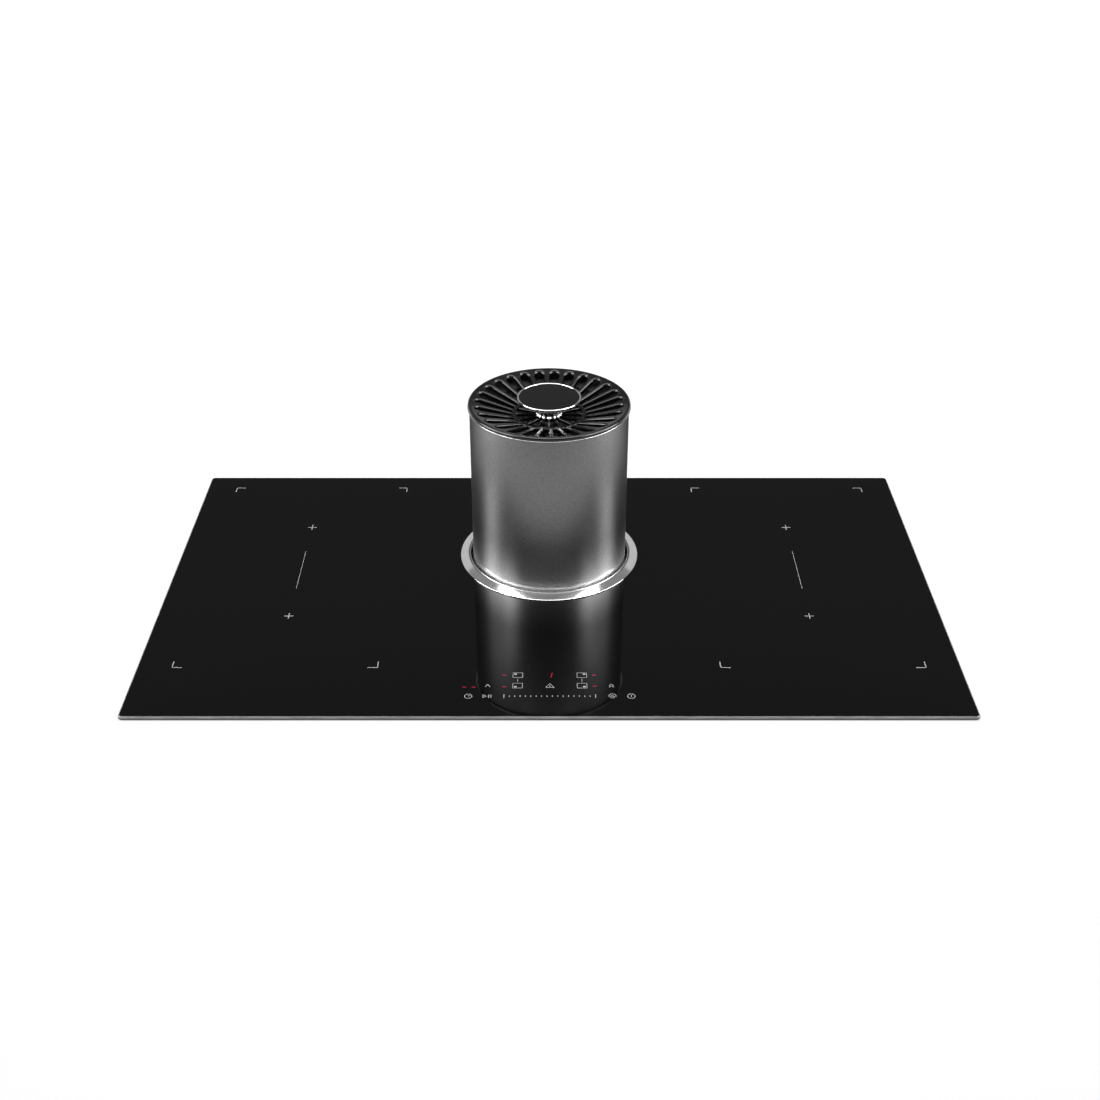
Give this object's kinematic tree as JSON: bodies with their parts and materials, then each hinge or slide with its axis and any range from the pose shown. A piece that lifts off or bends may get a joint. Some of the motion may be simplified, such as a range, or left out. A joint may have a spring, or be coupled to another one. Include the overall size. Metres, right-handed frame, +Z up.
{
  "type": "induction cooktop with rising extractor tower",
  "caption": "Flush black glass induction cooktop with two long cooking zones, a front touch panel and a round extractor tower that rises out of a polished collar.",
  "frame": {"origin": "centre of the underside, on the lower face of the base plate", "axes": "+X to the right, +Y to the back of the worktop, +Z up"},
  "size_m": [0.9, 0.52, 0.4995],
  "materials": {
    "black_glass": "polished opaque black ceramic glass",
    "seal_foam": "dark foam tape",
    "polished_steel": "mirror polished",
    "black_rubber": "soft black",
    "satin_steel": "dark satin, blasted",
    "gloss_black": "gloss black moulding",
    "filter_steel": "perforated steel",
    "zinc_sheet": "zinc-coated sheet",
    "black_moulding": "matt black moulding",
    "bright_steel": "turned bright steel",
    "motor_shell": "cast alloy",
    "copper_winding": "varnished copper strand",
    "sensor_ceramic": "pale ceramic",
    "mica": "pressed mica sheet",
    "shelf_aluminium": "mill aluminium sheet",
    "circuit_board": "green board",
    "panel_print": "fired ceramic print, thin grey marks",
    "display_red": "lit red segments behind the glass"
  },
  "bodies": {
    "hob": {"glass_plate": "black_glass", "seal_tape": "seal_foam", "collar_ring": "polished_steel", "collar_gasket": "black_rubber", "wiper_seal": "black_rubber", "well_tube": "zinc_sheet", "well_floor": "black_moulding", "lift_gearbox": "black_moulding", "lift_motor": "motor_shell", "guide_rod": "bright_steel", "base_plate": "zinc_sheet", "side_panel_left": "zinc_sheet", "side_panel_right": "zinc_sheet", "blower_scroll": "black_moulding", "blower_motor": "motor_shell", "outlet_duct": "black_moulding", "housing_tray": "zinc_sheet", "coil_winding_left_front": "copper_winding", "coil_winding_left_rear": "copper_winding", "coil_winding_right_front": "copper_winding", "coil_winding_right_rear": "copper_winding", "coil_carrier_left_front": "black_moulding", "coil_carrier_left_rear": "black_moulding", "coil_carrier_right_front": "black_moulding", "coil_carrier_right_rear": "black_moulding", "pan_sensor_left_front": "sensor_ceramic", "pan_sensor_left_rear": "sensor_ceramic", "pan_sensor_right_front": "sensor_ceramic", "pan_sensor_right_rear": "sensor_ceramic", "mica_sheet_left": "mica", "mica_sheet_right": "mica", "coil_shelf_left": "shelf_aluminium", "coil_shelf_right": "shelf_aluminium", "power_board_left": "circuit_board", "power_board_right": "circuit_board", "heat_sink_left": "shelf_aluminium", "heat_sink_right": "shelf_aluminium", "fan_housing_left": "black_moulding", "fan_housing_right": "black_moulding", "touch_board": "circuit_board", "touch_holder": "black_moulding", "mains_board": "circuit_board", "terminal_box": "black_moulding", "cable_gland": "black_moulding", "worktop_clip_left_front": "bright_steel", "worktop_clip_left_rear": "bright_steel", "worktop_clip_right_front": "bright_steel", "worktop_clip_right_rear": "bright_steel"},
    "tower": {"tower_tube": "satin_steel", "tower_foot": "black_moulding"},
    "filter_unit": {"top_grille": "gloss_black", "disc_dish": "polished_steel", "disc_insert": "gloss_black", "filter_basket": "filter_steel"},
    "spindle": {"lift_spindle": "bright_steel"},
    "impeller": {"blower_impeller": "black_moulding"},
    "fan_left": {"fan_rotor_left": "black_moulding"},
    "fan_right": {"fan_rotor_right": "black_moulding"},
    "flap": {"outlet_flap": "black_moulding"},
    "drip_tray": {"drip_tray": "black_moulding"}
  },
  "joints": [
    {"name": "tower_lift", "type": "slide", "parent": "hob", "child": "tower", "axis": [0, 0, 1], "range_m": [-0.2, 0]},
    {"name": "filter_lift_out", "type": "slide", "parent": "tower", "child": "filter_unit", "axis": [0, 0, 1], "range_m": [0, 0.11]},
    {"name": "spindle_spin", "type": "hinge", "parent": "hob", "child": "spindle", "pos_m": [-0.084, 0.067, 0.039], "axis": [0, 0, 1], "range_deg": [-7210, 10]},
    {"name": "impeller_spin", "type": "hinge", "parent": "hob", "child": "impeller", "pos_m": [0.154, 0.067, 0.11], "axis": [1, 0, 0], "continuous": true},
    {"name": "fan_left_spin", "type": "hinge", "parent": "hob", "child": "fan_left", "pos_m": [-0.115, -0.112, 0.24], "axis": [0, 0, 1], "continuous": true},
    {"name": "fan_right_spin", "type": "hinge", "parent": "hob", "child": "fan_right", "pos_m": [0.115, -0.112, 0.24], "axis": [0, 0, 1], "continuous": true},
    {"name": "flap_swing", "type": "hinge", "parent": "hob", "child": "flap", "pos_m": [0.154, 0.176, 0.076], "axis": [1, 0, 0], "range_deg": [0, 78]},
    {"name": "drip_tray_slide", "type": "slide", "parent": "hob", "child": "drip_tray", "axis": [0, -1, 0], "range_m": [0, 0.16]}
  ],
  "couplings": [
    {"joint": "spindle_spin", "follows": "tower_lift", "rad_per_m": 628.32}
  ]
}
